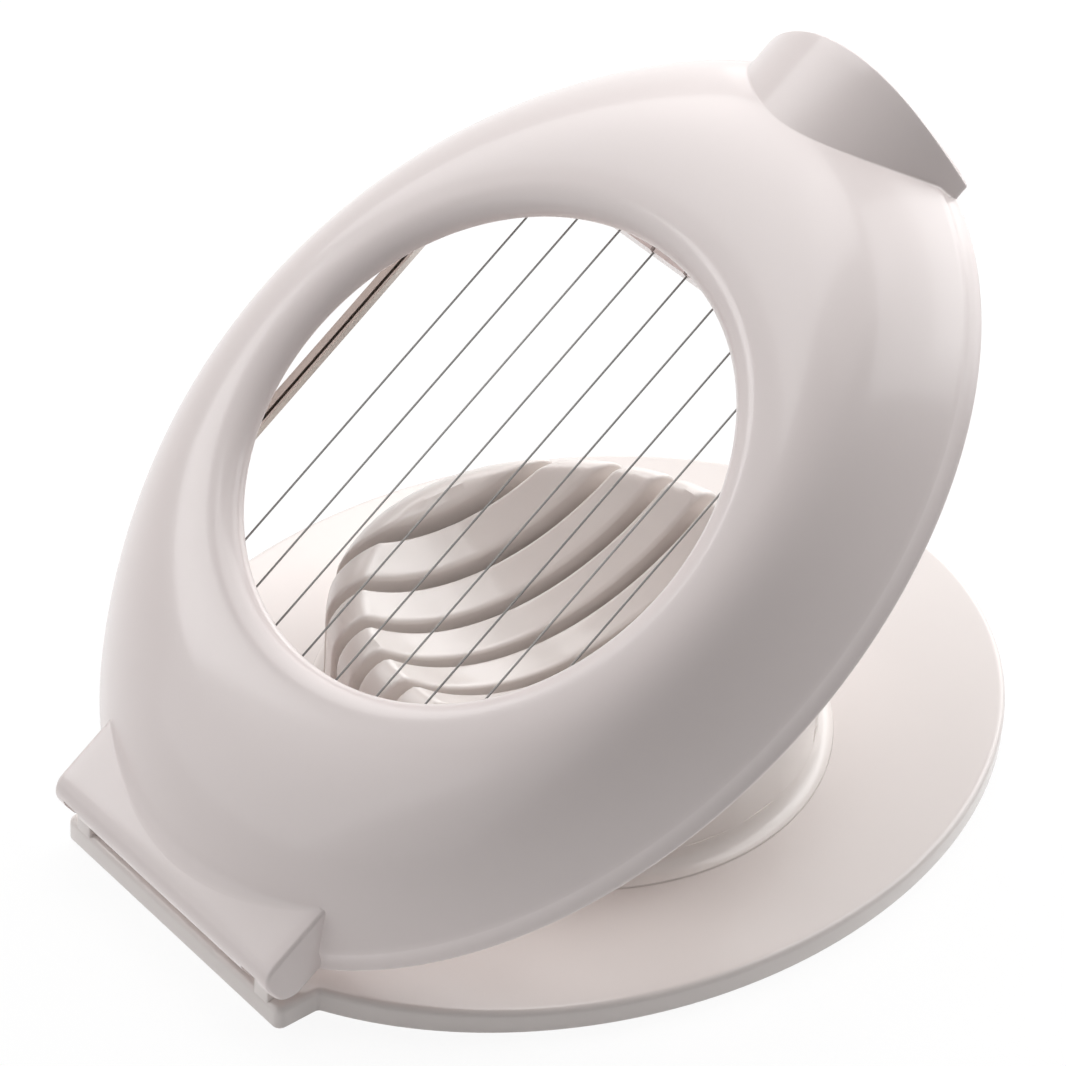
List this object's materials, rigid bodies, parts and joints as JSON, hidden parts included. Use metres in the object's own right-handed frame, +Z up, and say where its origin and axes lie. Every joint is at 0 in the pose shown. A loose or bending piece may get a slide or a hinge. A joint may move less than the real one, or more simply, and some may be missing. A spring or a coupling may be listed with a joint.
{
  "type": "wire slicer",
  "caption": "Oval white plastic slicer for tomatoes and mozzarella: a slotted cup on a flat base and a domed, hinged lid ring strung with cutting wires that pass through the cup's slots.",
  "frame": {"origin": "on the table, under the middle of the oval base", "axes": "+Z up, +Y from the hinge to the thumb hood, +X along the hinge pins; the lid is open 35.8 degrees"},
  "size_m": [0.1522, 0.1891, 0.134],
  "materials": {
    "white_plastic": "glossy moulded white ABS, faintly warm",
    "steel": "plain stainless steel"
  },
  "bodies": {
    "base": {"base_plate": "white_plastic", "slicing_cup": "white_plastic", "cup_screws": "steel", "hinge_pin_left": "steel", "hinge_pin_right": "steel"},
    "lid": {"lid_shell": "white_plastic", "front_wire_comb": "white_plastic", "rear_wire_comb": "white_plastic", "left_side_rail": "steel", "right_side_rail": "steel", "comb_screws": "steel", "cutting_wire_1": "steel", "cutting_wire_2": "steel", "cutting_wire_3": "steel", "cutting_wire_4": "steel", "cutting_wire_5": "steel", "cutting_wire_6": "steel", "cutting_wire_7": "steel", "cutting_wire_8": "steel", "cutting_wire_9": "steel"}
  },
  "joints": [
    {"name": "lid_hinge", "type": "hinge", "parent": "base", "child": "lid", "pos_m": [0, -0.0917, 0.01275], "axis": [1, 0, 0], "range_deg": [-35.8, 54.2]}
  ]
}
